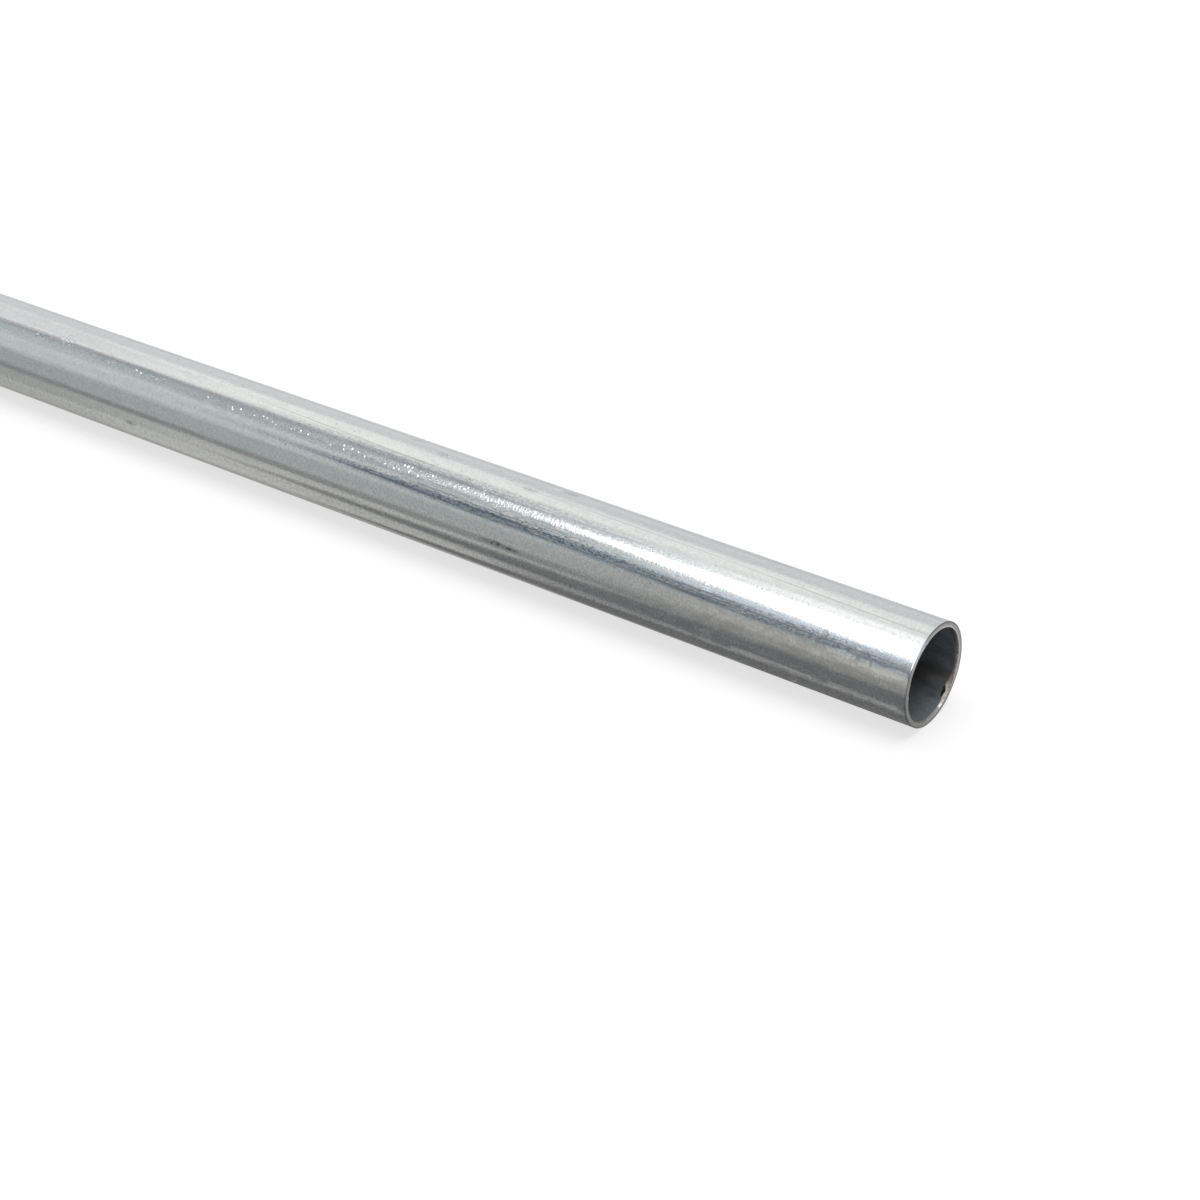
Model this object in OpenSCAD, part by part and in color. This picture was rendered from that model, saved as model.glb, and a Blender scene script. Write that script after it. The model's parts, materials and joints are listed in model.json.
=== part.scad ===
// Galvanized steel electrical conduit: one straight length of thin-wall tube with
// square-cut, reamed ends and a seam welded along its whole length.
// The tube lies along X on a level surface. The middle of its length is at X = 0
// and its lowest line is at Z = 0. All sizes are in millimetres.

/* [Tube] */
// Outside diameter of the tube
outer_d = 17.93; // [15:0.01:60]
// Thickness of the steel wall
wall = 1.07; // [0.9:0.01:2]
// Length of the stock piece, cut end to cut end
stock_length = 3048; // [300:1:6100]

/* [Weld seam] */
// Height of the weld bead over the bore's wall
bead_h = 0.2; // [0.12:0.01:0.3]
// Width of the weld bead where it meets the bore's wall
bead_w = 1.8; // [1.2:0.1:2.2]
// Clock position of the seam, in degrees from the top of the tube towards its back
seam_clock = 131; // [0:1:359]

/* [Cut ends] */
// How far the reamer opens the bore's radius at each end
ream_step = 0.15; // [0.05:0.01:0.3]
// How deep the reamer reaches into each end
ream_depth = 1; // [0.5:0.1:2]
// Width of the small bevel on the outside edge of each end
edge_bevel = 0.12; // [0.05:0.01:0.3]

/* [Hidden] */
zinc_grey = [0.71, 0.73, 0.74];
outer_r = outer_d / 2;
bore_r = outer_r - wall;
half_length = stock_length / 2;
// Height of the bead's crown over the straight line between its two feet.
bead_foot = sqrt(pow(bore_r, 2) - pow(bead_w / 2, 2));
bead_rise = bead_foot - (bore_r - bead_h);
// Radius of the arc through the bead's two feet and its crown.
bead_crown_r = (pow(bead_w / 2, 2) + pow(bead_rise, 2)) / (2 * bead_rise);
// Cutting bodies run this far past the faces that they cut.
overrun = 1;
$fn = 96;

// The rolled tube's outside, with the outer edge of each cut end bevelled.
module tube_outside() {
    rotate_extrude()
        polygon([
            [0, -half_length],
            [outer_r - edge_bevel, -half_length],
            [outer_r, edge_bevel - half_length],
            [outer_r, half_length - edge_bevel],
            [outer_r - edge_bevel, half_length],
            [0, half_length]
        ]);
}

// The bore's section: a circle with the low, round-topped weld bead standing into it.
module bore_section() {
    difference() {
        circle(r = bore_r);
        translate([bore_r - bead_h + bead_crown_r, 0])
            circle(r = bead_crown_r);
    }
}

// The cone that a reamer leaves in the mouth of the bore, from the face inwards.
module reamed_mouth() {
    slope = ream_step / ream_depth;
    translate([0, 0, half_length - ream_depth])
        cylinder(
            h = ream_depth + overrun,
            r1 = bore_r,
            r2 = bore_r + slope * (ream_depth + overrun)
        );
}

// The whole length of tube, standing on its axis with the seam towards +X.
module tube_upright() {
    difference() {
        tube_outside();
        linear_extrude(height = stock_length + 2 * overrun, center = true)
            bore_section();
        reamed_mouth();
        mirror([0, 0, 1])
            reamed_mouth();
    }
}

// The finished piece, laid along X with its seam turned to its clock position.
module conduit_tube() {
    color(zinc_grey)
        translate([0, 0, outer_r])
            rotate([0, 90, 0])
                rotate([0, 0, 180 - seam_clock])
                    tube_upright();
}

conduit_tube();
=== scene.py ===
# %% [markdown]
# Dressing a length of steel conduit.
# The object is one straight piece of galvanized thin-wall steel tube. It lies on a pale floor, and the
# camera looks at one cut end of it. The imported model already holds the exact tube, but with few faces,
# so this lesson works out a finer surface with numpy, gives it three finishes, and lights it.

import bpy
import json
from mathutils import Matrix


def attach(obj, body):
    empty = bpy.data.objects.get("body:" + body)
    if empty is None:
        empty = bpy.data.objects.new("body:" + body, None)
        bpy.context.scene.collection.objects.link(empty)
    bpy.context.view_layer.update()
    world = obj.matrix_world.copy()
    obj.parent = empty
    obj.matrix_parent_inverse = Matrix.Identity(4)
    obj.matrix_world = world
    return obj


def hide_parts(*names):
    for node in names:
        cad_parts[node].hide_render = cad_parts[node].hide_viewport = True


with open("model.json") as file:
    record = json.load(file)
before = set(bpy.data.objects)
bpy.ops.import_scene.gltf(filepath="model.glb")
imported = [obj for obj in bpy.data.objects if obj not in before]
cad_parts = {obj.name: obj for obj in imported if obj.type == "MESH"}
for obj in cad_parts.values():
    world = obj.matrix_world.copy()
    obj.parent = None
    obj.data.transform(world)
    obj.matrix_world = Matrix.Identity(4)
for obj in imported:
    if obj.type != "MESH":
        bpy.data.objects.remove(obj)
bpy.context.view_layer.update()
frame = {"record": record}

# %% [markdown]
# Sizes.
# Nothing is measured twice: the radii and the length come from the record that was packed with the tube,
# where every mount states the real size of its surface. Lengths below are in metres, unless a name ends
# in _mm, because fine surface detail is easier to think about in millimetres.

# %% Read the tube's sizes from the record
import json

import bpy
import numpy as np

MM = 0.001
mounts = {mount["name"]: mount for mount in frame["record"]["mounts"]}
outer_r = mounts["outside"]["dims"]["r_mm"] * MM
bore_r = mounts["bore"]["dims"]["r_mm"] * MM
half_length = mounts["end_face_plus_x"]["pos_m"][0]
ream_depth = half_length - mounts["bore"]["dims"]["length_mm"] * MM / 2
axis_z = mounts["bore"]["pos_m"][2]
print("outer radius", outer_r, "bore radius", bore_r, "half length", half_length)

# %% [markdown]
# The camera.
# The picture is square, and a lens of known focal length in pixels turns into millimetres on a 36 mm
# sensor. The camera looks down at the tube by about 30 degrees and along it by about 36 degrees, and its
# place is given from the middle of the cut end that it looks at.

# %% Put up the camera
from mathutils import Euler, Vector

PICTURE_PX = 1200
FOCAL_PX = 2392.3
SENSOR_MM = 36.0
LOOK_DOWN_DEG = 30.234
LOOK_ALONG_DEG = 36.39
CAMERA_FROM_END = Vector((0.148163, -0.290282, 0.201189))

camera_data = bpy.data.cameras.new("camera")
camera_data.sensor_width = SENSOR_MM
camera_data.lens = FOCAL_PX / PICTURE_PX * SENSOR_MM
camera_data.clip_start = 0.01
camera = bpy.data.objects.new("camera", camera_data)
bpy.context.scene.collection.objects.link(camera)
camera.location = Vector((half_length, 0, axis_z)) + CAMERA_FROM_END
camera.rotation_euler = Euler(np.radians((90 - LOOK_DOWN_DEG, 0, LOOK_ALONG_DEG)))
bpy.context.scene.camera = camera
print("lens", round(camera_data.lens, 2), "mm")

# %% [markdown]
# The shape as a closed grid.
# A tube is a profile carried round an axis. The profile is the outline of its wall cut lengthwise: along
# the outside, round the edge, across the cut face, down the reamed mouth, back along the bore, and round
# the other end. It closes on itself, and so does the turn round the axis, so the whole skin is one grid
# that is closed in both directions and has no seam, pole or loose edge.

# %% Helpers for rows of numbers
AROUND = 288  # points in one turn round the axis
RANDOM_SEED = 11
rng = np.random.default_rng(RANDOM_SEED)
clock = np.arange(AROUND) * 2 * np.pi / AROUND


def bunched(half, count):
    """Places from -half to half, spaced by a sine so that they bunch up towards both ends."""
    return half * np.sin(np.linspace(-np.pi / 2, np.pi / 2, count))


def quarter(centre_x, centre_r, radius, start_deg, end_deg, count):
    """Points (x, r) on an arc: the centre plus the radius times the cosine and sine of the angle."""
    angle = np.radians(np.linspace(start_deg, end_deg, count))
    return np.column_stack((centre_x + radius * np.cos(angle), centre_r + radius * np.sin(angle)))


def ripple(angle, orders, height):
    """A closed wave round the tube: cosines of whole orders with random phases and falling heights."""
    orders = np.asarray(list(orders))
    phases = rng.uniform(0, 2 * np.pi, len(orders))
    weights = rng.normal(0, 1, len(orders)) / np.sqrt(orders)
    waves = np.cos(np.multiply.outer(angle, orders) + phases) @ weights
    return height * waves / np.abs(waves).max()


def hump(angle, middle_deg, half_deg):
    """A soft hump round the tube: a raised cosine, 1 at its middle and 0 past its half width."""
    off = np.angle(np.exp(1j * (angle - np.radians(middle_deg)))) / np.radians(half_deg)
    return 0.5 + 0.5 * np.cos(np.pi * np.clip(off, -1, 1))


# %% [markdown]
# The wall's outline.
# Each end has a small round edge outside, a flat cut face, a round lip, the cone that the reamer left, and
# a sharp shoulder where the cone stops. The rings of points stand close together at the ends and further
# apart in the middle, where nothing changes but the slow wander of the rolled wall.

# %% Work out the wall's outline
OUTSIDE_RINGS = 210
BORE_RINGS = 40
EDGE_POINTS = 6
FACE_POINTS = 8
LIP_POINTS = 5
CONE_POINTS = 8
REAM_STEP = 0.15 * MM
EDGE_R = 0.07 * MM
LIP_R = 0.10 * MM
SHOULDER = 0.03 * MM
mouth_r = bore_r + REAM_STEP

outside = bunched(half_length - EDGE_R, OUTSIDE_RINGS)
outside = np.column_stack((outside, np.full(OUTSIDE_RINGS, outer_r)))
edge = quarter(half_length - EDGE_R, outer_r - EDGE_R, EDGE_R, 90, 0, EDGE_POINTS)[1:]
face_r = np.linspace(outer_r - EDGE_R, mouth_r + LIP_R, FACE_POINTS)[1:-1]
face = np.column_stack((np.full(len(face_r), half_length), face_r))
lip = quarter(half_length - LIP_R, mouth_r + LIP_R, LIP_R, 0, -90, LIP_POINTS)
depth = np.linspace(LIP_R, ream_depth - SHOULDER, CONE_POINTS)[1:]
cone_r = mouth_r - REAM_STEP * (depth - LIP_R) / (ream_depth - LIP_R)
mouth = np.column_stack((half_length - depth, cone_r))
shoulder = np.column_stack((half_length - ream_depth - SHOULDER * np.array((0, 1)), (bore_r, bore_r)))
near_end = np.vstack((edge, face, lip, mouth, shoulder))
far_end = near_end[::-1] * (-1, 1)
bore = bunched(half_length - ream_depth, BORE_RINGS)[::-1]
bore = np.column_stack((bore[1:-1], np.full(BORE_RINGS - 2, bore_r)))
profile = np.vstack((outside, near_end, bore, far_end))

ZINC, CUT, LINING = 0, 1, 2
zone = np.concatenate((
    np.full(len(outside), ZINC),
    np.full(len(near_end) - 1, CUT),
    np.full(len(bore) + 2, LINING),
    np.full(len(far_end) - 1, CUT),
))
print(len(profile), "rings of", AROUND, "points")

# %% [markdown]
# The rolled and welded wall.
# Such a tube is never a perfect cylinder: its wall wanders by a few thousandths of a millimetre, which is
# too little to see by eye but enough to bend the reflections. The weld leaves the outside a little flat,
# and in the bore it leaves a low bead, uneven in height and torn along its sides. Each of these is a small
# change of radius, worked out for the whole grid at once, with one row for each ring.

# %% Carry the outline round the axis
WANDER = 0.006 * MM
DRIFTS = ((23, 0.0), (61, 1.3))  # radians for a metre along, and the phase
SEAM_FLAT = 0.09 * MM
SEAM_FLAT_HALF_DEG = 24
BEAD_H = 0.2 * MM
BEAD_HALF_W = 0.9 * MM
BEAD_CLOCK_DEG = -131.0
BEAD_WOBBLES = ((0.15, 0.021), (0.10, 0.0083))  # share of the height, and metres from wave to wave
TORN = 0.05 * MM
TORN_HALF_DEG = 26

ring_x, ring_r = profile[:, :1], profile[:, 1:]
radius = np.repeat(ring_r, AROUND, axis=1)
along = np.repeat(ring_x, AROUND, axis=1)
side = np.sign(ring_x)
from_end = half_length - np.abs(ring_x)

drift = sum(np.cos(ring_x * pace + phase) for pace, phase in DRIFTS)
wander = ripple(clock, range(2, 14), WANDER) * drift + ripple(clock, range(5, 24), WANDER / 2)
radius = radius + np.where((zone == ZINC)[:, None], wander, 0)
radius = radius - SEAM_FLAT * hump(clock, BEAD_CLOCK_DEG, SEAM_FLAT_HALF_DEG)

in_bore = (ring_r <= bore_r) & (from_end > ream_depth + SHOULDER / 2)
from_bead = bore_r * np.angle(np.exp(1j * (clock - np.radians(BEAD_CLOCK_DEG))))
bead = BEAD_H * np.clip(1 - (from_bead / BEAD_HALF_W) ** 2, 0, 1)
bead = bead * (1 + sum(share * np.cos(ring_x * 2 * np.pi / wave) for share, wave in BEAD_WOBBLES))
torn = ripple(clock, range(20, 90), TORN) * hump(clock, BEAD_CLOCK_DEG, TORN_HALF_DEG)
radius = radius - np.where(in_bore, bead + np.clip(torn, 0, None), 0)
print("the wall wanders by up to", round(float(np.abs(wander).max()) / MM, 4), "mm")

# %% [markdown]
# The reamed mouth.
# The reamer is held by hand. It runs off centre, so the mouth is narrower on one side, and it reaches
# deeper on another side and at the bead, which it cuts off and leaves torn. So the cone's rings are moved
# along the axis, the most at the shoulder.

# %% Ream the mouth
REAM_SHALLOW = 0.3  # the least reach of the reamer, as a share of its full depth
REAM_DEEPER = 0.55
REAM_DEEP_DEG = -65
REAM_DEEP_HALF_DEG = 60
REAM_AT_BEAD = 0.45
REAM_UNEVEN = 0.05
TEAR = 0.3 * MM
TEAR_ASIDE_DEG = 7
TEAR_HALF_DEG = 9
REAM_OFF = 0.30 * MM
REAM_OFF_DEG = 28

reach = REAM_SHALLOW + REAM_DEEPER * hump(clock, REAM_DEEP_DEG, REAM_DEEP_HALF_DEG)
reach = reach + REAM_AT_BEAD * hump(clock, BEAD_CLOCK_DEG, TORN_HALF_DEG)
reach = reach + ripple(clock, range(3, 30), REAM_UNEVEN)
tear = TEAR * hump(clock, BEAD_CLOCK_DEG - TEAR_ASIDE_DEG, TEAR_HALF_DEG)
tear = tear * (1 + ripple(clock, range(30, 110), 0.5))
in_mouth = (ring_r < mouth_r) & (from_end < ream_depth + 2 * SHOULDER)
down = np.clip((from_end - LIP_R) / (ream_depth - LIP_R), 0, 1)
shift = (from_end - LIP_R) * (1 - reach) + down**4 * tear
along = along + np.where(in_mouth, side * shift, 0)

is_cut = (zone == CUT)[:, None]
wall_share = np.clip((outer_r - ring_r) / (outer_r - mouth_r), 0, 1)
off_centre = REAM_OFF * hump(clock, REAM_OFF_DEG, 90) * np.clip((ring_r - bore_r) / REAM_STEP, 0, 1)
radius = radius - np.where(is_cut, wall_share * off_centre, 0)
print("the cone reaches", (reach.min().round(2), reach.max().round(2)), "of its full depth")

# %% [markdown]
# The cut face.
# The saw leaves the face a little uneven, and a burr stands up where the face meets the mouth. The burr
# leans inwards, so it moves the lip both along the axis and towards it.

# %% Saw the face
SAW = 0.02 * MM
BURR = 0.07 * MM
BURR_LEAN = 1.2

near_face = np.where(is_cut, np.clip(1 - from_end / EDGE_R, 0, 1), 0)
saw = ripple(clock, range(1, 9), SAW)
burr = np.clip(ripple(clock, range(4, 60), BURR), 0, None) * wall_share**4
along = along + near_face * side * (saw + burr - SAW)
radius = radius - near_face * BURR_LEAN * burr

points = np.stack((along, -radius * np.sin(clock), axis_z + radius * np.cos(clock)), axis=-1)
print("points from", points.min((0, 1)).round(5), "to", points.max((0, 1)).round(5))

# %% [markdown]
# From points to a mesh.
# Four neighbouring points make one face. Rolling the grid of point numbers by one place gives every point
# its neighbour, also from the last back to the first, so the grid closes in both directions.

# %% Put the grid into a mesh


def closed_grid_mesh(name, points, zones):
    """Joins each point to the next along the outline and the next round the axis, wrapping both ways.

    points is rings by points by 3. A face takes the zone of the ring it starts from as its material.
    """
    rings, around = points.shape[:2]
    here = np.arange(rings * around).reshape(rings, around)
    right = np.roll(here, -1, axis=1)
    ahead = np.roll(here, -1, axis=0)
    faces = np.stack((here, right, np.roll(right, -1, axis=0), ahead), axis=-1).reshape(-1, 4)
    mesh = bpy.data.meshes.new(name)
    mesh.from_pydata(points.reshape(-1, 3), [], faces)
    mesh.polygons.foreach_set("material_index", np.repeat(zones, around))
    mesh.polygons.foreach_set("use_smooth", np.ones(len(faces), bool))
    mesh.update()
    return mesh


next_zone = np.roll(zone, -1)
face_zone = np.where((zone != next_zone) & (zone != CUT), next_zone, zone)
tube_mesh = closed_grid_mesh("conduit_tube_skin", points, face_zone)
tube = bpy.data.objects.new("conduit_tube_skin", tube_mesh)
bpy.context.scene.collection.objects.link(tube)
print("triangles", 2 * len(tube_mesh.polygons))

# %% [markdown]
# Short words for shader nodes.
# A node tree in code is mostly wiring. These helpers add one node each and return its output, so that a
# finish reads like a sum: noise, then ramp, then mix.

# %% Helpers for shader nodes
FIRST_COLOUR, SECOND_COLOUR, MIXED_COLOUR = 6, 7, 2  # the Mix node's colour sockets, by number


def feed(tree, socket, value):
    """Links value to socket if it is an output, and otherwise sets it as the socket's own value."""
    if isinstance(value, bpy.types.NodeSocket):
        tree.links.new(value, socket)
    else:
        socket.default_value = value


def add(tree, kind, inputs=(), **settings):
    """Adds a node, sets its settings, and feeds its inputs, which are named or numbered."""
    made = tree.nodes.new(kind)
    for name, value in settings.items():
        setattr(made, name, value)
    for key, value in dict(inputs).items():
        feed(tree, made.inputs[key], value)
    return made


def sums(tree, operation, *values):
    """One Math node."""
    return add(tree, "ShaderNodeMath", dict(enumerate(values)), operation=operation).outputs[0]


def times(tree, first, *others):
    """The product of two or more values."""
    for other in others:
        first = sums(tree, "MULTIPLY", first, other)
    return first


def vectors(tree, operation, *values):
    """One Vector Math node."""
    return add(tree, "ShaderNodeVectorMath", dict(enumerate(values)), operation=operation).outputs[0]


def ramp(tree, value, low, high, to_low=0.0, to_high=1.0):
    """A smooth step: to_low below low, to_high above high, and an S curve between."""
    inputs = {"Value": value, "From Min": low, "From Max": high, "To Min": to_low, "To Max": to_high}
    return add(tree, "ShaderNodeMapRange", inputs, interpolation_type="SMOOTHSTEP").outputs["Result"]


def window(tree, value, low, high, soft):
    """1 between low and high, fading to 0 within soft of either edge."""
    rise = ramp(tree, value, low - soft, low + soft)
    fall = ramp(tree, value, high - soft, high + soft, 1.0, 0.0)
    return times(tree, rise, fall)


def mix(tree, factor, first, second):
    """A colour between first and second."""
    inputs = {"Factor": factor, FIRST_COLOUR: first, SECOND_COLOUR: second}
    return add(tree, "ShaderNodeMix", inputs, data_type="RGBA").outputs[MIXED_COLOUR]


def layered(tree, colour, layers):
    """The colour with each (mask, colour) pair of layers mixed over it, one after the other."""
    for mask, over in layers:
        colour = mix(tree, mask, colour, over)
    return colour


def noise(tree, vector, scale, detail=2.0, roughness=0.5):
    """One Noise Texture, with values near 0.5."""
    inputs = {"Vector": vector, "Scale": scale, "Detail": detail, "Roughness": roughness}
    return add(tree, "ShaderNodeTexNoise", inputs).outputs["Fac"]


# %% [markdown]
# Effects that several finishes share.
# Each is a node group with named inputs and outputs, built once. A group gives only masks, heights or
# values that change over the surface; the shader itself stays in each material.

# %% A builder for node groups
VECTOR, NUMBER = "NodeSocketVector", "NodeSocketFloat"


def group(name, inputs, outputs):
    """An empty shader group with a vector or float input for each name in inputs, and float outputs."""
    tree = bpy.data.node_groups.new(name, "ShaderNodeTree")
    for label, kind in inputs.items():
        tree.interface.new_socket(label, in_out="INPUT", socket_type=kind)
    for label in outputs:
        tree.interface.new_socket(label, in_out="OUTPUT", socket_type=NUMBER)
    start = tree.nodes.new("NodeGroupInput")
    end = tree.nodes.new("NodeGroupOutput")
    return tree, start.outputs, end.inputs


def place(tree, effect, **inputs):
    """Puts a group into a tree and returns its outputs. An underscore in a name stands for a space."""
    made = tree.nodes.new("ShaderNodeGroup")
    made.node_tree = effect
    for name, value in inputs.items():
        feed(tree, made.inputs[name.replace("_", " ")], value)
    return made.outputs


def squeeze(tree, start):
    """The group's Position, divided by its Length along the tube and by its Width the other two ways."""
    stretch = add(tree, "ShaderNodeCombineXYZ", {0: start["Length"], 1: start["Width"], 2: start["Width"]})
    return vectors(tree, "DIVIDE", start["Position"], stretch.outputs[0])


# %% [markdown]
# Where a point is on the tube.
# Roll marks, wear and stains follow the tube, so finishes need to know the clock angle from the top towards
# the front, the distance along from the end that the camera looks at, the distance from the nearer end and
# the distance from the axis. All come from Object coordinates, in millimetres.

# %% Build the place-on-tube group
tube_place, start, end = group(
    "place on tube", {"Position": VECTOR}, ["Clock", "Along", "From End", "From Axis"])
parts = add(tube_place, "ShaderNodeSeparateXYZ", {0: start["Position"]}).outputs
above = sums(tube_place, "SUBTRACT", parts["Z"], axis_z / MM)
turn = sums(tube_place, "ARCTAN2", times(tube_place, parts["Y"], -1.0), above)
feed(tube_place, end["Clock"], sums(tube_place, "DEGREES", turn))
feed(tube_place, end["Along"], sums(tube_place, "SUBTRACT", half_length / MM, parts["X"]))
squares = sums(tube_place, "MULTIPLY_ADD", above, above, sums(tube_place, "POWER", parts["Y"], 2.0))
feed(tube_place, end["From Axis"], sums(tube_place, "SQRT", squares))
to_middle = sums(tube_place, "ABSOLUTE", parts["X"])
feed(tube_place, end["From End"], sums(tube_place, "SUBTRACT", half_length / MM, to_middle))

# %% [markdown]
# Streaks along the tube.
# Strip is rolled, drawn and wiped lengthwise, so its fine marks are long and thin. A noise does that when
# its coordinates are squeezed along X: a streak is then many times longer than it is wide. The same group
# gives round patches when its length and width are alike, and marks round the tube when it is short.

# %% Build the streak group
streaks, start, end = group(
    "streaks along tube", {"Position": VECTOR, "Length": NUMBER, "Width": NUMBER}, ["Streak"])
feed(streaks, end["Streak"], noise(streaks, squeeze(streaks, start), 1.0, 2.0, 0.6))


def streak(tree, position, length, width):
    """Streaks of that length and width, in millimetres, with values near 0.5."""
    return place(tree, streaks, Position=position, Length=length, Width=width)["Streak"]


# %% [markdown]
# Pimples and specks.
# Both are scattered dots: each cell of a Voronoi pattern may hold one. Zinc pimples are small bumps, and
# dark specks are dots of dross or dirt. The group gives a soft dome for the cells it picks and 0 elsewhere.

# %% Build the scattered dots group
dots, start, end = group(
    "scattered dots", {"Position": VECTOR, "Spacing": NUMBER, "Share": NUMBER, "Size": NUMBER}, ["Dome"])
spacing = add(dots, "ShaderNodeCombineXYZ", {axis: start["Spacing"] for axis in range(3)})
scaled = vectors(dots, "DIVIDE", start["Position"], spacing.outputs[0])
cells = add(dots, "ShaderNodeTexVoronoi", {"Vector": scaled, "Scale": 1.0}).outputs
chance = add(dots, "ShaderNodeSeparateColor", {0: cells["Color"]}).outputs
picked = sums(dots, "LESS_THAN", chance[0], start["Share"])
dot_r = sums(dots, "MULTIPLY", start["Size"], ramp(dots, chance[1], 0.0, 1.0, 0.5, 1.0))
dome = ramp(dots, sums(dots, "DIVIDE", cells["Distance"], dot_r), 0.0, 1.0, 1.0, 0.0)
feed(dots, end["Dome"], times(dots, dome, picked))


def dotted(tree, position, spacing, share, size):
    """Scattered domes: the share of the cells that hold one, their spacing and size in millimetres."""
    return place(tree, dots, Position=position, Spacing=spacing, Share=share, Size=size)["Dome"]


# %% [markdown]
# Tilted facets.
# Frozen zinc is a patchwork of small crystals, each leaning its own way, and so one of them is light while
# its neighbour is dark. A Voronoi cell gives the patch, and its random colour gives the lean: the height is
# the place within the cell times the lean. The lean's cube leaves most crystals nearly flat. The height
# fades out towards the cell's edge, so that it has no cliffs. A second output is a number from 0 to 1 for
# each cell, by which a finish can pick a few of them.

# %% Build the facets group
facets, start, end = group(
    "tilted facets", {"Position": VECTOR, "Length": NUMBER, "Width": NUMBER}, ["Height", "Chance"])
squeezed = squeeze(facets, start)
cells = add(facets, "ShaderNodeTexVoronoi", {"Vector": squeezed, "Scale": 1.0}).outputs
within = vectors(facets, "SUBTRACT", squeezed, cells["Position"])
lean = vectors(facets, "SUBTRACT", cells["Color"], (0.5, 0.5, 0.5))
lean = vectors(facets, "MULTIPLY", lean, vectors(facets, "MULTIPLY", lean, lean))
tilted = add(facets, "ShaderNodeVectorMath", {0: within, 1: lean}, operation="DOT_PRODUCT").outputs["Value"]
faded = ramp(facets, cells["Distance"], 0.2, 0.6, 4.0, 0.0)
feed(facets, end["Height"], times(facets, tilted, faded))
channels = add(facets, "ShaderNodeSeparateColor", {0: cells["Color"]}).outputs
jumbled = sums(facets, "MULTIPLY_ADD", channels[0], 7.0, times(facets, channels[1], 11.0))
feed(facets, end["Chance"], sums(facets, "FRACT", jumbled))

# %% [markdown]
# Scratches.
# A thin line is where a slow noise crosses its middle value. Squeezing the noise one way makes the line
# nearly straight, and a second noise breaks it into short marks.

# %% Build the scratches group
scratches, start, end = group(
    "scratches", {"Position": VECTOR, "Stretch": VECTOR, "Thin": NUMBER}, ["Line"])
squeezed = vectors(scratches, "DIVIDE", start["Position"], start["Stretch"])
crossing = sums(scratches, "SUBTRACT", noise(scratches, squeezed, 1.0, 1.0), 0.5)
crossing = sums(scratches, "ABSOLUTE", crossing)
line = ramp(scratches, sums(scratches, "DIVIDE", crossing, start["Thin"]), 0.0, 1.0, 1.0, 0.0)
broken = ramp(scratches, noise(scratches, start["Position"], 0.35, 1.0), 0.53, 0.62)
feed(scratches, end["Line"], times(scratches, line, broken))

# %% [markdown]
# Helpers for a finish.
# Every finish starts from its Principled shader and the Object position in millimetres. Heights are added
# up in millimetres too, so that a bump of 0.01 is a hundredth of a millimetre on the real tube.

# %% Helpers for a finish


def start_material(name):
    """A new material, its tree, its Principled shader, and the Object position in millimetres."""
    material = bpy.data.materials.new(name)
    material.use_nodes = True
    tree = material.node_tree
    shader = tree.nodes["Principled BSDF"]
    position = tree.nodes.new("ShaderNodeTexCoord").outputs["Object"]
    return material, tree, shader, vectors(tree, "DIVIDE", position, (MM, MM, MM))


def total(tree, start, heights):
    """start plus the sum of (height, amount) pairs."""
    result = start
    for height, amount in heights:
        result = sums(tree, "MULTIPLY_ADD", height, amount, result)
    return result


def most(tree, *masks):
    """The largest of several masks."""
    result = masks[0]
    for mask in masks[1:]:
        result = sums(tree, "MAXIMUM", result, mask)
    return result


def bump(tree, height_mm):
    """A Bump node for a height in millimetres."""
    made = add(tree, "ShaderNodeBump", {"Strength": 1.0, "Distance": MM, "Height": height_mm})
    return made.outputs["Normal"]


def blot(tree, on_tube, at, half_size, skew=0.0, soft=0.5):
    """A soft oval on the tube: at and half_size are (mm along, degrees round), skew is degrees per mm."""
    along = sums(tree, "SUBTRACT", on_tube["Along"], at[0])
    round_it = sums(tree, "SUBTRACT", on_tube["Clock"], at[1])
    round_it = sums(tree, "MULTIPLY_ADD", along, -skew, round_it)
    along = sums(tree, "DIVIDE", along, half_size[0])
    round_it = sums(tree, "DIVIDE", round_it, half_size[1])
    off = sums(tree, "SQRT", sums(tree, "MULTIPLY_ADD", along, along, sums(tree, "POWER", round_it, 2.0)))
    return ramp(tree, off, 1.0 - soft, 1.0, 1.0, 0.0)


def pad(tree, on_tube, at, half_size, ragged):
    """A pressed rectangle: at and half_size as for a blot, its edges moved by the ragged noise."""
    sides = []
    for axis, (name, moved, soft) in enumerate((("Along", 3.0, 0.4), ("Clock", 8.0, 1.2))):
        here = total(tree, on_tube[name], [(ragged, moved)])
        middle = at[axis] + moved / 2
        sides.append(window(tree, here, middle - half_size[axis], middle + half_size[axis], soft))
    return times(tree, *sides)


def patches(tree, on_tube, marks):
    """The largest of several blots, each of them (at, half_size, skew, strength)."""
    return most(tree, *[times(tree, blot(tree, on_tube, at, half_size, skew), strength)
                        for at, half_size, skew, strength in marks])


# %% [markdown]
# Galvanized zinc, the outside.
# Zinc is a grey metal with a soft mirror, so most of what the eye sees is its form bending the reflections.
# The finish is worked out in four steps: where the rough strip runs, which fine marks there are, how high
# each mark stands, and what colour it has. A mark that has a place of its own is listed here by that place:
# millimetres along from the end that the camera looks at, and degrees round from the top to the front.

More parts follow.
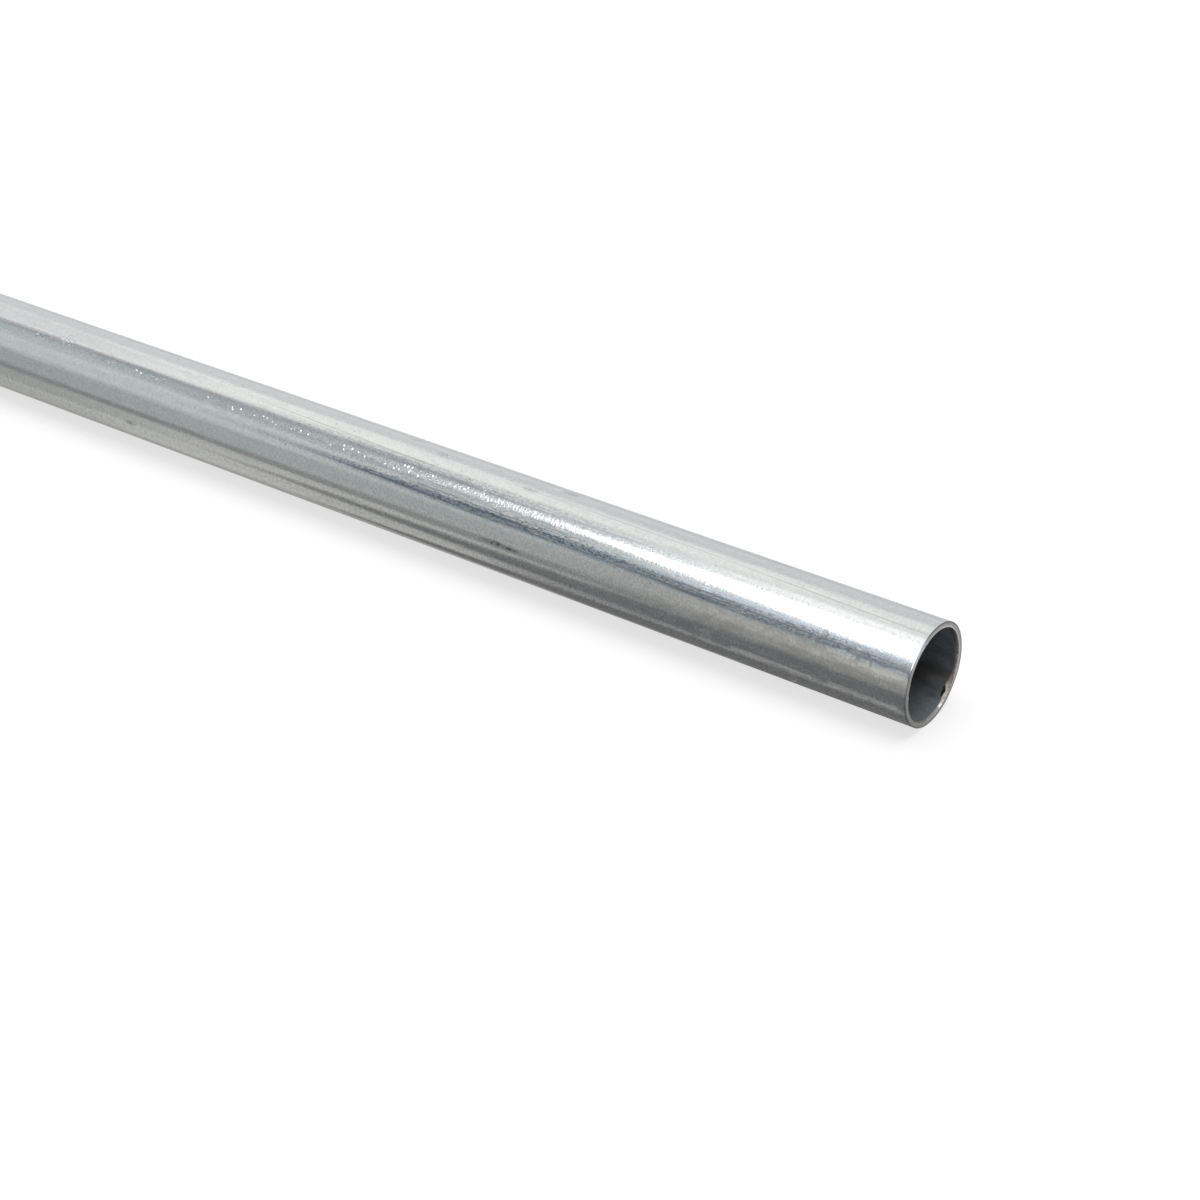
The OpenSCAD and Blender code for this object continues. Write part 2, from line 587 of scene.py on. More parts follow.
# %% List the marks that have a place
STRIP_CLOCK = 32.0
PIMPLE_ROW_CLOCK = 33.5
STRIP_DIP = 4.5
DIP_STARTS = (68.0, 95.0)
DIP_ENDS = (145.0, 190.0)
ROW_STARTS = (62.0, 108.0)
HATCHED_PATCH = ((86, 36), (34, 13))  # (mm along, degrees round), half size
NICKED_PATCH = ((100, 4), (13, 28))
SMUDGED_PATCH = ((22, 92), (44, 36))
ROUGH_PATCHES = [  # (mm along, degrees round), half size, skew, strength
    ((118, 34), (60, 9), -0.03, 0.5),
    ((80, 25), (45, 7), -0.08, 0.2),
    ((86, 53), (34, 9), 0.0, 0.2),
    ((18, 57), (20, 10), 0.0, 0.2),
]
FLECKED_PATCHES = [
    ((84, 53), (48, 9), 0.0, 1.0),
    ((90, 27), (64, 9), -0.05, 0.5),
    ((30, 58), (38, 8), 0.0, 0.8),
]
ROLL_LINES = [  # (mm along, degrees round), half size, skew
    ((120, 19), (34, 1.1), -0.18),
    ((17, 14.5), (26, 1.3), -0.15),
    ((60, 9), (30, 0.7), -0.05),
]
PRESSED_PADS = [  # (mm along, degrees round), half size
    ((5.0, 68), (4.0, 4.0)),
    ((12.5, 66), (2.5, 3.0)),
    ((8, 106), (6.5, 3.5)),
    ((25, 106), (8.0, 2.5)),
]
CLAMP_LINES = [
    ((16.2, 55), (0.8, 8.5)),
    ((6.6, 111), (0.4, 7.0)),
    ((6.9, 67), (0.35, 4.5)),
]
LONG_NICK = ((21.5, 130), (1.3, 3.0), 9.6)
STAINS = [
    ((82.0, 83.2), (4.0, 4.6)),
    ((78.5, 84), (2.6, 3.0)),
]

# %% [markdown]
# The rough strip.
# Along one line the coating ran and froze. The strip wanders slowly round the tube and dips by a few
# degrees on one stretch. It is rough with crystals, and down its middle runs a row of pimples that starts
# some way from the cut end and narrows with distance. Clouds of noise make the edges of both uneven.

# %% Find the rough strip
from types import SimpleNamespace


def rough_strip(tree, position, on_tube):
    """Marks with the clouds, the rough zinc and the pimply row in them, each from 0 to 1."""
    cloud = streak(tree, position, 3.0, 1.4)
    wander = streak(tree, position, 60.0, 1000.0)
    middle = ramp(tree, wander, 0.3, 0.7, STRIP_CLOCK - 3.0, STRIP_CLOCK + 3.0)
    dip = times(tree, ramp(tree, on_tube["Along"], *DIP_STARTS, 0.0, STRIP_DIP),
                ramp(tree, on_tube["Along"], *DIP_ENDS, 1.0, 0.0))
    from_dip = sums(tree, "SUBTRACT", on_tube["Clock"], dip)
    off_strip = sums(tree, "ABSOLUTE", sums(tree, "SUBTRACT", from_dip, middle))
    strip = ramp(tree, total(tree, off_strip, [(cloud, 8.0)]), 5.0, 10.5, 1.0, 0.0)
    patchy = times(tree, ramp(tree, streak(tree, position, 90.0, 6.0), 0.58, 0.7), 0.35)
    rough_zinc = most(tree, strip, patchy, patches(tree, on_tube, ROUGH_PATCHES))
    rough_zinc = times(tree, rough_zinc, ramp(tree, cloud, 0.3, 0.62, 0.45, 1.0))

    clump = streak(tree, position, 4.0, 1.6)
    off_row = sums(tree, "SUBTRACT", total(tree, from_dip, [(clump, 8.0)]), PIMPLE_ROW_CLOCK + 4.0)
    row_half = ramp(tree, on_tube["Along"], 85.0, 130.0, 6.5, 2.8)
    past_row = sums(tree, "SUBTRACT", sums(tree, "ABSOLUTE", off_row), row_half)
    pimply = times(tree, ramp(tree, past_row, -1.2, 1.2, 1.0, 0.0),
                   ramp(tree, clump, 0.42, 0.56, 0.2, 1.0),
                   ramp(tree, on_tube["Along"], *ROW_STARTS))
    return SimpleNamespace(cloud=cloud, rough_zinc=rough_zinc, pimply=pimply)


# %% [markdown]
# Marks all over the zinc.
# Rolling leaves slow waves and fine lines, freezing leaves mottling, grain and leaning crystals, and dross
# leaves dots and flecks. A mark that is only wanted in one patch is multiplied by the mask of that patch.

# %% Work out the marks all over
PIMPLE_SPACING, PIMPLE_SHARE, PIMPLE_SIZE = 0.95, 0.45, 0.5
SPECK_SPACING, SPECK_SIZE = 1.5, 0.19
NICK_SPACING, NICK_SIZE = 3.2, 0.42
GLINT_SHARE = 0.35


def add_marks_all_over(tree, position, on_tube, marks):
    """Adds waves, lines, grain, crystals, dots and flecks to the marks."""
    marks.fine = streak(tree, position, 40.0, 0.35)
    marks.broad = streak(tree, position, 160.0, 2.2)
    marks.waves = streak(tree, position, 26.0, 2.4)
    marks.brushed = streak(tree, position, 0.3, 4.0)
    marks.mottle = noise(tree, position, 1.5, 2.0, 0.6)
    marks.grain = noise(tree, position, 4.5, 2.0, 0.6)
    marks.handled = place(tree, scratches, Position=position, Stretch=(14.0, 0.8, 0.8), Thin=0.02)["Line"]

    hatch = streak(tree, position, 0.35, 1.4)
    marks.hatch = times(tree, hatch, blot(tree, on_tube, *HATCHED_PATCH))
    crystals = place(tree, facets, Position=position, Length=0.6, Width=0.5)["Height"]
    marks.crystals = times(tree, crystals, marks.rough_zinc)
    glints = place(tree, facets, Position=position, Length=0.9, Width=0.6)
    glinting = times(tree, sums(tree, "LESS_THAN", glints["Chance"], GLINT_SHARE), marks.pimply)
    marks.glints = times(tree, glints["Height"], glinting)
    pimples = dotted(tree, position, PIMPLE_SPACING, PIMPLE_SHARE, PIMPLE_SIZE)
    marks.pimples = times(tree, pimples, marks.pimply)

    nick_share = total(tree, 0.14, [(blot(tree, on_tube, *NICKED_PATCH), 0.3)])
    marks.specks = dotted(tree, position, SPECK_SPACING, nick_share, SPECK_SIZE)
    drawn_out = vectors(tree, "DIVIDE", position, (2.2, 1.0, 1.0))
    nicks = dotted(tree, drawn_out, NICK_SPACING, nick_share, NICK_SIZE)
    marks.nicks = times(tree, nicks, ramp(tree, marks.grain, 0.42, 0.55))
    flecks = ramp(tree, streak(tree, position, 0.75, 0.28), 0.50, 0.60)
    wiped = ramp(tree, streak(tree, position, 24.0, 0.3), 0.53, 0.61)
    marks.flecks = times(tree, most(tree, flecks, wiped), patches(tree, on_tube, FLECKED_PATCHES))


# %% [markdown]
# Marks with a place.
# Near the cut end the clamp has pressed bright pads and thin lines into the zinc, and handling has brushed
# it dull. Further along are skewed roll lines, one long nick and two dark stains, whose mask is broken up
# by the mottling, so that no outline looks drawn.

# %% Work out the marks with a place


def add_placed_marks(tree, on_tube, marks):
    """Adds the brushed end, pads, lines, nick, smudges and stains to the marks."""
    ragged_end = total(tree, on_tube["From End"], [(marks.cloud, 5.0)])
    marks.near_cut = ramp(tree, ragged_end, 8.0, 38.0, 1.0, 0.0)
    pressed = most(tree, *[pad(tree, on_tube, *mark, ragged=marks.cloud) for mark in PRESSED_PADS])
    marks.pressed = times(tree, pressed, ramp(tree, marks.mottle, 0.42, 0.56, 0.9, 0.6))
    marks.lines = most(tree, *[blot(tree, on_tube, *mark) for mark in ROLL_LINES + CLAMP_LINES])
    marks.nick = blot(tree, on_tube, *LONG_NICK)
    marks.smudged = times(tree, blot(tree, on_tube, *SMUDGED_PATCH),
                          ramp(tree, marks.cloud, 0.42, 0.6, 0.0, 0.4))
    stain = most(tree, *[blot(tree, on_tube, *spot, soft=0.9) for spot in STAINS])
    broken_up = ramp(tree, total(tree, marks.mottle, [(marks.grain, 0.5)]), 0.74, 0.92, 1.0, 0.1)
    marks.stain = times(tree, stain, broken_up)


# %% [markdown]
# How high the marks stand.
# The heights are in millimetres. A pimple of a few hundredths glints, a roll line a hundredth deep shows
# as a thin dark edge, and a slow wave does no more than bend the bands of light.

# %% Add up the zinc's height


def zinc_height(tree, marks):
    """The height of the zinc in millimetres: the sum of each mark times its own height."""
    mottling = total(tree, 0.009, [(marks.rough_zinc, 0.006)])
    graining = total(tree, 0.003, [(marks.rough_zinc, 0.008), (marks.near_cut, 0.002)])
    return total(tree, 0.0, [
        (marks.pimples, 0.036),
        (marks.glints, 0.26),
        (marks.hatch, 0.013),
        (marks.crystals, 0.017),
        (marks.nicks, -0.045),
        (marks.mottle, mottling),
        (marks.grain, graining),
        (marks.waves, 0.035),
        (marks.fine, 0.004),
        (marks.handled, -0.003),
        (times(tree, marks.brushed, marks.near_cut), 0.002),
        (marks.lines, -0.008),
        (marks.nick, 0.03),
    ])


# %% [markdown]
# What colour the marks have.
# The zinc's own grey changes slowly from broad streak to broad streak. Each layer mixes one more grey over
# it, from the wide and faint ones to the small and dark ones, and the last is a painted shadow line along
# the lower part of the edge at the cut.
# Speckles, brushing and dross are seen more lower down, so their masks grow with the clock angle.

# %% Layer the zinc's colours
DULL_ZINC = (0.695, 0.72, 0.73, 1)
BRIGHT_ZINC = (0.775, 0.785, 0.78, 1)
SPECKLE_GREY = (0.54, 0.55, 0.56, 1)
BRUSHED_GREY = (0.42, 0.43, 0.44, 1)
CLOUD_GREY = (0.60, 0.62, 0.625, 1)
DROSS_GREY = (0.26, 0.29, 0.32, 1)
PRESSED_WHITE = (0.93, 0.935, 0.93, 1)
LINE_GREY = (0.40, 0.42, 0.43, 1)
NICK_GREY = (0.34, 0.36, 0.38, 1)
STAIN_BLACK = (0.14, 0.145, 0.15, 1)
SPECK_BLACK = (0.13, 0.135, 0.14, 1)
# The colour of a painted shadow line along the cut edge.
EDGE_SHADOW_BROWN = (0.20, 0.185, 0.18, 1)


def zinc_colour(tree, position, on_tube, marks):
    """The zinc's grey with every mark's own grey mixed over it in turn, and last a painted shadow at the
    cut.
    """
    lower = on_tube["Clock"]
    speckled = times(tree, ramp(tree, noise(tree, position, 2.7, 1.0), 0.40, 0.64),
                     ramp(tree, lower, 30.0, 115.0, 0.22, 0.95),
                     ramp(tree, on_tube["Along"], 60.0, 150.0, 1.0, 0.6))
    dulled = times(tree, ramp(tree, marks.brushed, 0.48, 0.66), marks.near_cut,
                   ramp(tree, lower, 44.0, 80.0, 0.12, 0.45))
    dross = ramp(tree, total(tree, marks.mottle, [(marks.grain, 0.6)]), 0.66, 0.82, 1.0, 0.0)
    more_dross = [(marks.rough_zinc, 0.15), (ramp(tree, lower, 96.0, 112.0), 0.2)]
    dross = times(tree, dross, total(tree, 0.12, more_dross))
    # Painted shadow: a dark line on the lower side of the zinc, right at the cut edge.
    painted_edge_shadow = times(tree, ramp(tree, on_tube["From End"], 0.15, 0.45, 0.7, 0.0),
                    ramp(tree, lower, 70.0, 110.0))
    zinc = mix(tree, ramp(tree, marks.broad, 0.3, 0.7), DULL_ZINC, BRIGHT_ZINC)
    return layered(tree, zinc, [
        (speckled, SPECKLE_GREY),
        (most(tree, dulled, marks.smudged), BRUSHED_GREY),
        (ramp(tree, marks.cloud, 0.4, 0.65, 0.0, 0.25), CLOUD_GREY),
        (most(tree, dross, times(tree, marks.flecks, 0.88)), DROSS_GREY),
        (most(tree, marks.pressed, marks.nick), PRESSED_WHITE),
        (times(tree, marks.lines, 0.5), LINE_GREY),
        (times(tree, marks.nicks, 0.8), NICK_GREY),
        (times(tree, marks.stain, 0.95), STAIN_BLACK),
        (times(tree, marks.specks, 0.8), SPECK_BLACK),
        (painted_edge_shadow, EDGE_SHADOW_BROWN),
    ])


# %% [markdown]
# Put the zinc together.
# Height goes to the bump, colour to the metal's tint, and a few of the marks make it a little rougher.

# %% Make the galvanized finish
ZINC_ROUGHNESS = 0.09


def galvanized_zinc():
    """The material of the outside."""
    material, tree, shader, position = start_material("galvanized_zinc")
    on_tube = place(tree, tube_place, Position=position)
    marks = rough_strip(tree, position, on_tube)
    add_marks_all_over(tree, position, on_tube, marks)
    add_placed_marks(tree, on_tube, marks)
    rough_marks = [(marks.fine, 0.07), (marks.rough_zinc, 0.03), (marks.stain, 0.2), (marks.pressed, 0.13)]
    feed(tree, shader.inputs["Normal"], bump(tree, zinc_height(tree, marks)))
    feed(tree, shader.inputs["Base Color"], zinc_colour(tree, position, on_tube, marks))
    feed(tree, shader.inputs["Roughness"], total(tree, ZINC_ROUGHNESS, rough_marks))
    shader.inputs["Metallic"].default_value = 1.0
    return material


# %% [markdown]
# Bare steel, the cut face and the reamed mouth.
# A saw and a reamer leave bright steel that has dulled a little, warmer in colour than zinc, with fine
# parallel tool marks across the face. Round the weld the steel was heated, and it is pinker there. In the
# mouth beside the weld, a dark band under the lip is painted shadow. The lip of the mouth is rubbed bright,
# most of all on the side that the reamer pressed on, and the outer rim is dark where the zinc ends. Below
# the key highlight the face carries a painted highlight, a pale bluish bloom of it, and one spot of the lip
# carries a painted white glint.

# %% Make the cut steel finish
BRIGHT_SIDE_DEG = -52.0
WELD_HEAT = (8.0, 26.0)  # degrees from the bead
# The clock span of a painted shadow under the lip in the mouth, beside the weld.
LIP_SHADOW_CLOCK = (-128.0, -96.0)
# Where a painted highlight goes: a bloom of the key highlight painted on the face below it.
KEY_BLOOM_PATCH = ((0.0, 40.0), (2.0, 26.0))
# The spot of a painted highlight: a white glint painted on the lip.
PAINTED_GLINT_SPOT = ((0.1, -156), (0.35, 6))
OUTER_MM = outer_r / MM
MOUTH_MM = mouth_r / MM
LIP_BAND_MM = (MOUTH_MM + LIP_R / MM - 0.03, MOUTH_MM + LIP_R / MM + 0.2)
RIM_BAND_MM = (OUTER_MM - 0.36, OUTER_MM - 0.12)
DULL_STEEL = (0.37, 0.375, 0.355, 1)
BRIGHT_STEEL = (0.55, 0.545, 0.54, 1)
# The painted highlight's colour: a pale bluish bloom of the key light.
PAINTED_BLOOM_STEEL = (0.88, 0.90, 0.98, 1)
HEATED_STEEL = (0.43, 0.385, 0.365, 1)
CONE_STEEL = (0.24, 0.24, 0.22, 1)
HEATED_CONE = (0.25, 0.205, 0.19, 1)
# The colour of the painted shadow in the mouth.
PAINTED_SHADOW_CONE = (0.09, 0.075, 0.07, 1)
RUBBED_LIP = (0.88, 0.86, 0.84, 1)
RIM_BROWN = (0.17, 0.155, 0.15, 1)
GRAIN_BROWN = (0.20, 0.19, 0.185, 1)
WHITE = (1.0, 1.0, 1.0, 1)


def cut_steel():
    """The material of the cut face and the reamed mouth."""
    material, tree, shader, position = start_material("cut_steel")
    on_tube = place(tree, tube_place, Position=position)
    from_axis = on_tube["From Axis"]
    sawn = place(tree, scratches, Position=position, Stretch=(1.0, 0.25, 5.0), Thin=0.08)["Line"]
    grain = noise(tree, position, 3.0, 3.0, 0.6)
    by_weld = sums(tree, "ABSOLUTE", sums(tree, "SUBTRACT", on_tube["Clock"], BEAD_CLOCK_DEG))
    by_weld = ramp(tree, by_weld, *WELD_HEAT, 0.8, 0.0)
    turned = sums(tree, "RADIANS", sums(tree, "SUBTRACT", on_tube["Clock"], BRIGHT_SIDE_DEG))
    rubbed = sums(tree, "MULTIPLY_ADD", sums(tree, "COSINE", turned), 0.5, 0.5)
    # Painted highlight: below the key highlight the face is mixed towards a pale bluish bloom of it.
    painted_key_bloom = blot(tree, on_tube, *KEY_BLOOM_PATCH, soft=0.8)

    in_cone = ramp(tree, from_axis, MOUTH_MM - 0.03, MOUTH_MM + 0.03, 0.75, 0.0)
    # Painted shadow: a dark band in the mouth under the lip, beside the weld.
    painted_lip_shadow = window(tree, on_tube["Clock"], *LIP_SHADOW_CLOCK, 5.0)
    cone = layered(tree, CONE_STEEL, [(by_weld, HEATED_CONE), (painted_lip_shadow, PAINTED_SHADOW_CONE)])
    at_lip = window(tree, total(tree, from_axis, [(grain, 0.2)]), *LIP_BAND_MM, 0.06)
    # Painted highlight: a white glint painted on one spot of the lip, mixed in as white.
    painted_lip_glint = times(tree, ramp(tree, from_axis, MOUTH_MM + 0.2, MOUTH_MM + 0.35, 0.9, 0.0),
                  blot(tree, on_tube, *PAINTED_GLINT_SPOT, soft=0.8))
    rim = times(tree, ramp(tree, from_axis, *RIM_BAND_MM, 0.0, 0.92),
                ramp(tree, rubbed, 0.2, 0.8, 0.7, 1.0),
                ramp(tree, painted_key_bloom, 0.0, 0.8, 1.0, 0.1))
    colour = layered(tree, DULL_STEEL, [
        (rubbed, BRIGHT_STEEL),
        (painted_key_bloom, PAINTED_BLOOM_STEEL),
        (by_weld, HEATED_STEEL),
        (in_cone, cone),
        (times(tree, at_lip, rubbed), RUBBED_LIP),
        (painted_lip_glint, WHITE),
        (rim, RIM_BROWN),
        (ramp(tree, grain, 0.3, 0.6, 0.4, 0.0), GRAIN_BROWN),
    ])
    feed(tree, shader.inputs["Base Color"], colour)
    feed(tree, shader.inputs["Normal"], bump(tree, total(tree, 0.0, [(grain, 0.03), (sawn, -0.006)])))
    feed(tree, shader.inputs["Roughness"], ramp(tree, grain, 0.3, 0.7, 0.55, 0.38))
    shader.inputs["Metallic"].default_value = 1.0
    return material


# %% [markdown]
# The bore's lining.
# Inside, the tube has a thin dark coat that lets wires slide. It is a paint and not a metal, so it shows
# its own dark colour and only a soft sheen. It went on in clouds. Its floor is coloured lighter as painted
# light falling in from the mouth, and beside the weld bead it is coloured darker as painted shade. Where
# the reamer tore the weld's bead, the notch behind the cut is coloured black as a painted shadow.

# %% Make the bore finish
# The clock span of painted shade beside the weld bead.
WELD_SHADE_CLOCK = (-139.0, -112.0)
# The clock span of painted light on the bore's floor.
FLOOR_LIGHT_CLOCK = (150.0, 175.0)
# The spot of a painted shadow in the notch behind the torn bead.
NOTCH_SHADOW_SPOT = ((0.65, -139.0), (0.45, 10.0))
DARK_COAT = (0.060, 0.063, 0.072, 1)
THIN_COAT = (0.092, 0.096, 0.104, 1)
# The colour of painted light on the bore's floor.
PAINTED_LIGHT_COAT = (0.094, 0.110, 0.118, 1)
GRAINED_COAT = (0.035, 0.037, 0.040, 1)
# The colour of painted shade beside the weld bead.
PAINTED_SHADE_COAT = (0.030, 0.029, 0.028, 1)
# The colour of the painted shadow in the notch.
PAINTED_NOTCH_SHADOW = (0.006, 0.005, 0.005, 1)
COAT_SHEEN = 0.15


def dark_lining():
    """The material of the bore."""
    material, tree, shader, position = start_material("dark_lining")
    on_tube = place(tree, tube_place, Position=position)
    clouds = streak(tree, position, 3.0, 1.2)
    grain = noise(tree, position, 3.5, 2.0, 0.6)
    # Painted light: the bore's floor is coloured lighter, for light falling in from the mouth.
    painted_floor_light = total(tree, sums(tree, "ABSOLUTE", on_tube["Clock"]), [(clouds, 30.0)])
    # Painted shade: the lining beside the weld bead is coloured darker.
    painted_weld_shade = window(tree, on_tube["Clock"], *WELD_SHADE_CLOCK, 6.0)
    # Painted shadow: a near-black spot in the notch behind the torn bead.
    painted_notch_shadow = total(tree, blot(tree, on_tube, *NOTCH_SHADOW_SPOT, soft=0.4), [(grain, 0.8)])
    colour = layered(tree, DARK_COAT, [
        (ramp(tree, clouds, 0.3, 0.7), THIN_COAT),
        (ramp(tree, painted_floor_light, *FLOOR_LIGHT_CLOCK), PAINTED_LIGHT_COAT),
        (ramp(tree, grain, 0.35, 0.6, 0.35, 0.0), GRAINED_COAT),
        (times(tree, painted_weld_shade, 0.7), PAINTED_SHADE_COAT),
        (ramp(tree, painted_notch_shadow, 0.9, 1.1), PAINTED_NOTCH_SHADOW),
    ])
    feed(tree, shader.inputs["Base Color"], colour)
    feed(tree, shader.inputs["Normal"], bump(tree, total(tree, 0.0, [(clouds, 0.02), (grain, 0.01)])))
    feed(tree, shader.inputs["Roughness"], ramp(tree, clouds, 0.3, 0.7, 0.6, 0.45))
    shader.inputs["Specular IOR Level"].default_value = COAT_SHEEN
    return material


# %% [markdown]
# Dress the tube.
# The mesh takes the finishes in the order of its zones. The skin then replaces the imported tube's surface
# in the picture and rides on the one body that there is.

# %% Give the skin its finishes and tie it to the imported tube
for finish in (galvanized_zinc(), cut_steel(), dark_lining()):
    tube_mesh.materials.append(finish)
    print(finish.name, "has", len(finish.node_tree.nodes), "nodes")
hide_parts("conduit_tube")
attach(tube, "root")

# %% [markdown]
# The floor.
# A plain pale sheet, large enough to fill any view. It is a lit table: part of its brightness is its own,
# which keeps the tube's shadow light, and shiny reflections pass through it to the light below.

# %% Lay the floor
FLOOR_HALF = 60.0
FLOOR_GREY = (0.13, 0.13, 0.13, 1)
FLOOR_GLOW = 0.70


def pale_floor():
    """A square floor at height 0 that glows a little and shows in no reflection."""
    mesh = bpy.data.meshes.new("floor")
    corners = [(x * FLOOR_HALF, y * FLOOR_HALF, 0) for x, y in ((-1, -1), (1, -1), (1, 1), (-1, 1))]
    mesh.from_pydata(corners, [], [(0, 1, 2, 3)])
    floor = bpy.data.objects.new("floor", mesh)
    bpy.context.scene.collection.objects.link(floor)
    material = bpy.data.materials.new("pale_floor")
    material.use_nodes = True
    shader = material.node_tree.nodes["Principled BSDF"]
    shader.inputs["Base Color"].default_value = FLOOR_GREY
    shader.inputs["Roughness"].default_value = 1.0
    shader.inputs["Specular IOR Level"].default_value = 0.0
    shader.inputs["Emission Color"].default_value = WHITE
    shader.inputs["Emission Strength"].default_value = FLOOR_GLOW
    mesh.materials.append(material)
    floor.visible_glossy = False
    return floor


pale_floor()

# %% [markdown]
# The light.
# A shiny tube shows the room in long bands. A ray that leaves it has an angle round the tube and a slope
# along it, so the studio is drawn in those two numbers: a plain grey tent with soft sheets hung round it,
# each a stretch of angle that may end at some slope in a rounded point. The slope is taken without its
# sign, so the tube looks alike from both of its ends.

# %% Measure a ray's angle and slope
LEAST_ANGLE = -124.0  # where the turn of angles begins, in degrees from straight up towards the front
scene = bpy.context.scene
world = bpy.data.worlds.new("studio")
scene.world = world
world.use_nodes = True
sky = world.node_tree
sky.nodes.clear()
direction = sky.nodes.new("ShaderNodeTexCoord").outputs["Generated"]
ray = add(sky, "ShaderNodeSeparateXYZ", {0: direction}).outputs
slope = times(sky, sums(sky, "ABSOLUTE", ray["X"]), -1.0)
angle = sums(sky, "DEGREES", sums(sky, "ARCTAN2", times(sky, ray["Y"], -1.0), ray["Z"]))
angle = sums(sky, "WRAP", angle, LEAST_ANGLE + 360.0, LEAST_ANGLE)

# %% [markdown]
# A sheet of light.
# A sheet is a mask in angle and slope, and a shade to mix in where the mask is 1. Its point is rounded
# because its half width opens with the square root of the way in from the tip, as a circle does.

# %% Helpers for sheets of light


def shade(level, red=0.0, blue=0.0):
    """A grey of that brightness, with its red and blue moved by those shares."""
    return (level * (1 + red), level, level * (1 + blue), 1)


def reach_of(tip, grow):
    """How far a sheet has opened at this slope: the square root of the share from tip to tip + grow."""
    share = sums(sky, "DIVIDE", sums(sky, "SUBTRACT", slope, tip), grow)
    return sums(sky, "SQRT", sums(sky, "MINIMUM", sums(sky, "MAXIMUM", share, 0.0), 1.0))


def sheet(middle, half, soft, tip=None, grow=0.1, skew=0.0):
    """The mask of one sheet: 1 within half degrees of its middle, fading within soft.

    With a tip, the sheet starts at that slope as a point and opens over grow. Its middle moves by skew
    degrees for each unit of slope.
    """
    middle = sums(sky, "MULTIPLY_ADD", slope, skew, middle)
    off = sums(sky, "ABSOLUTE", sums(sky, "SUBTRACT", angle, middle))
    if tip is not None:
        half = sums(sky, "MULTIPLY_ADD", reach_of(tip, grow), half + soft, -soft)
    return ramp(sky, sums(sky, "SUBTRACT", half, off), -soft, soft)


# %% [markdown]
# Hang the sheets.
# Each row holds the angle, half width and softness of a sheet in degrees, then a tip, an opening and a skew
# where it has an end, and its brightness and tint. Each hangs over the ones before. The key light comes
# last: it is far brighter than the rest, and its pointed end is the long highlight.

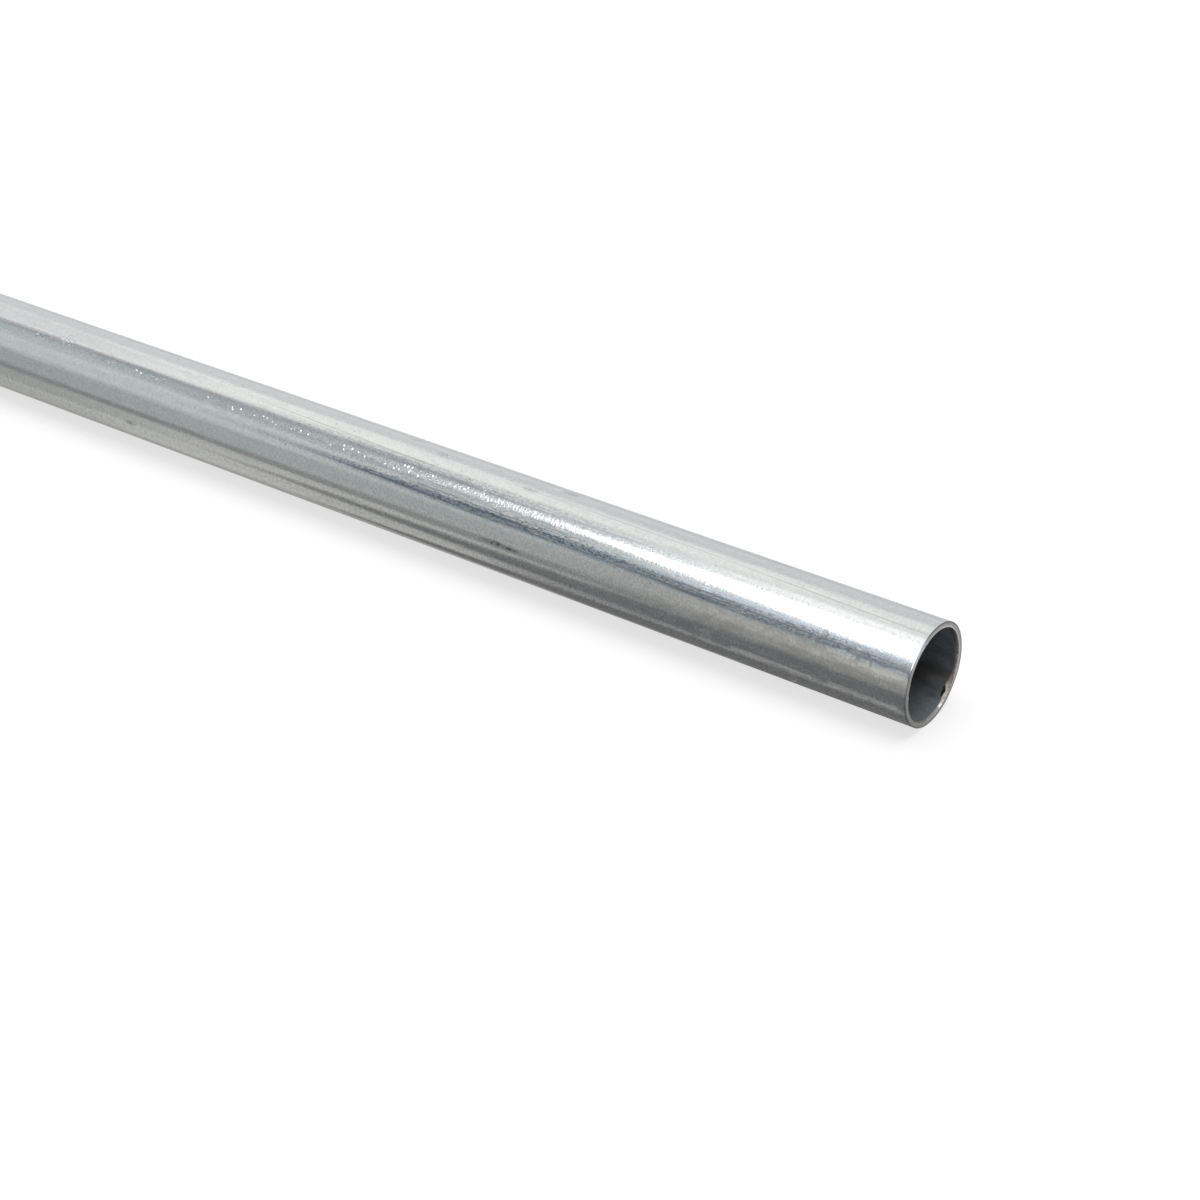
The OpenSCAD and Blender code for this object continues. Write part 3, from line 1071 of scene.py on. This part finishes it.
# %% Hang the sheets
SHEETS = [
    (dict(middle=-64, half=22, soft=8), shade(0.81, -0.015, -0.005)),
    (dict(middle=-25, half=22, soft=7), shade(1.06, 0.0, -0.03)),
    (dict(middle=-29, half=20, soft=4, tip=-0.665, grow=-0.04), shade(0.90, -0.01, -0.01)),
    (dict(middle=-6, half=9, soft=6, tip=-0.635, grow=0.05), shade(0.82, -0.01, -0.02)),
    (dict(middle=5.5, half=7.5, soft=4), shade(0.41, -0.05, 0.03)),
    (dict(middle=43, half=31, soft=8), shade(0.73, -0.05, -0.01)),
    (dict(middle=21, half=10, soft=6), shade(0.53, -0.06, 0.01)),
    (dict(middle=21, half=11, soft=6, tip=-0.67, grow=-0.03), shade(0.61, -0.06, 0.01)),
    (dict(middle=23, half=14, soft=5, tip=-0.635, grow=0.02), shade(0.47, -0.05, 0.03)),
    (dict(middle=90, half=20, soft=9), shade(0.49, -0.05, -0.01)),
    (dict(middle=90, half=20, soft=9, tip=-0.57, grow=0.08), shade(0.48, 0.0, -0.03)),
    (dict(middle=116, half=9, soft=5), shade(0.32, -0.03, -0.02)),
    (dict(middle=178, half=54, soft=4), shade(0.57, 0.01, -0.05)),
    (dict(middle=165, half=34, soft=6, tip=-0.62, grow=-0.03), shade(0.64, 0.01, -0.04)),
    (dict(middle=190, half=30, soft=6, tip=-0.675, grow=-0.03), shade(0.52, 0.01, -0.04)),
    (dict(middle=210, half=16, soft=6), shade(0.42, 0.01, -0.02)),
    (dict(middle=140, half=17, soft=7, tip=-0.665, grow=-0.03), shade(0.44, -0.01, -0.03)),
    (dict(middle=178, half=58, soft=4, tip=-0.55, grow=0.05), shade(0.34, 0.01, -0.02)),
    (dict(middle=127, half=20, soft=5, tip=-0.65, grow=0.20, skew=-30), shade(0.21, 0.0, 0.01)),
    (dict(middle=192, half=21, soft=5, tip=-0.62, grow=0.14), shade(0.19, 0.01, 0.01)),
    (dict(middle=215, half=20, soft=5, tip=-0.46, grow=0.04), shade(0.19, 0.02, 0.01)),
    (dict(middle=106, half=9, soft=8, tip=-0.53, grow=0.06), shade(0.38, 0.03, -0.05)),
    (dict(middle=88.5, half=8, soft=4, tip=-0.50, grow=0.06), shade(0.55, 0.03, -0.05)),
    (dict(middle=90.5, half=10.5, soft=4, tip=-0.64, grow=0.06, skew=62), shade(0.26, -0.17, 0.15)),
    (dict(middle=60, half=8, soft=6, tip=-0.53, grow=0.09), shade(0.46, -0.07, 0.06)),
    (dict(middle=13, half=12, soft=5, tip=-0.585, grow=0.05), shade(0.66, -0.01, 0.01)),
    (dict(middle=0, half=6, soft=6, tip=-0.59, grow=0.08), shade(0.96, 0.0, 0.0)),
    (dict(middle=8, half=20, soft=6, tip=-0.50, grow=0.04), shade(1.38, 0.02, -0.02)),
    (dict(middle=46, half=8, soft=6, tip=-0.52, grow=0.08), shade(0.80, -0.09, 0.12)),
]
KEY = dict(middle=46, half=15, soft=3, tip=-0.525, grow=0.12, skew=50)
KEY_LEVEL = 4.5
TENT_SHADE = shade(0.68, -0.01, 0.0)
tent = layered(sky, TENT_SHADE, [(sheet(**form), colour) for form, colour in SHEETS])
tent = mix(sky, sheet(**KEY), tent, shade(KEY_LEVEL))
print(len(SHEETS), "sheets and the key light")

# %% [markdown]
# Light the studio.
# A panel behind the tube and under it is what the cut face mirrors. Only shiny reflections see the sheets:
# the floor, the camera and the matt lining see a plain tent with one soft lamp overhead.

# %% Light the studio
END_SHADE = shade(0.62, 0.0, 0.02)
LAMP_SPREAD = 0.85  # the cosine of the angle from straight up at which the lamp's light begins
LAMP_LEVEL = 12.0

past_end = ramp(sky, ray["X"], 0.12, 0.3)
behind = ramp(sky, angle, -96.0, -84.0, 1.0, 0.0)
below = ramp(sky, angle, 204.0, 216.0)
tent = mix(sky, times(sky, most(sky, behind, below), past_end), tent, END_SHADE)

overhead = ramp(sky, ray["Z"], LAMP_SPREAD, 1.0, 1.0, LAMP_LEVEL)
plain = add(sky, "ShaderNodeBackground", {"Color": overhead})
painted = add(sky, "ShaderNodeBackground", {"Color": tent})
mirrored = sky.nodes.new("ShaderNodeLightPath").outputs["Is Glossy Ray"]
studio = add(sky, "ShaderNodeMixShader", {0: mirrored, 1: plain.outputs[0], 2: painted.outputs[0]})
add(sky, "ShaderNodeOutputWorld", {"Surface": studio.outputs[0]})
world.cycles.sampling_method = "NONE"
scene.view_settings.view_transform = "Standard"
